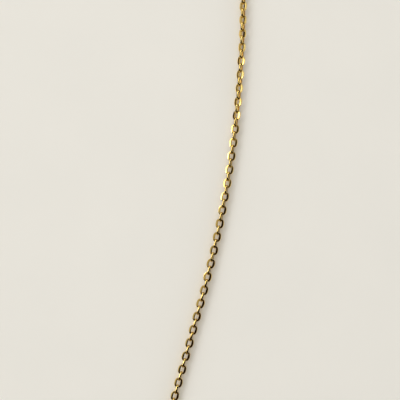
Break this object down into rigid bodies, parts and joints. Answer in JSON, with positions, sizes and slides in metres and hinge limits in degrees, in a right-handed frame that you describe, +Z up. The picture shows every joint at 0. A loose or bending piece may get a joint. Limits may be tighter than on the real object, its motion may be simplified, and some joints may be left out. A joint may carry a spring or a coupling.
{
  "type": "cable chain necklace",
  "caption": "Fine polished gold cable chain necklace, lying flat as a closed loop of small oval links, with a plain S hook at the nape.",
  "frame": {"origin": "on the surface that the necklace lies on, under the middle of the loop's outline", "axes": "+Z up from that surface; +Y along the loop's length, from the front of the necklace to the hook at the nape; +X to the right seen from above"},
  "size_m": [0.1024, 0.1825, 0.0016],
  "materials": {
    "chain_gold": "polished yellow gold with cut flats",
    "clasp_gold": "polished yellow gold wire"
  },
  "bodies": {
    "root": {"chain_links": "chain_gold", "chain_run_right": "chain_gold", "chain_run_left": "chain_gold", "clasp_hook": "clasp_gold"}
  },
  "joints": []
}
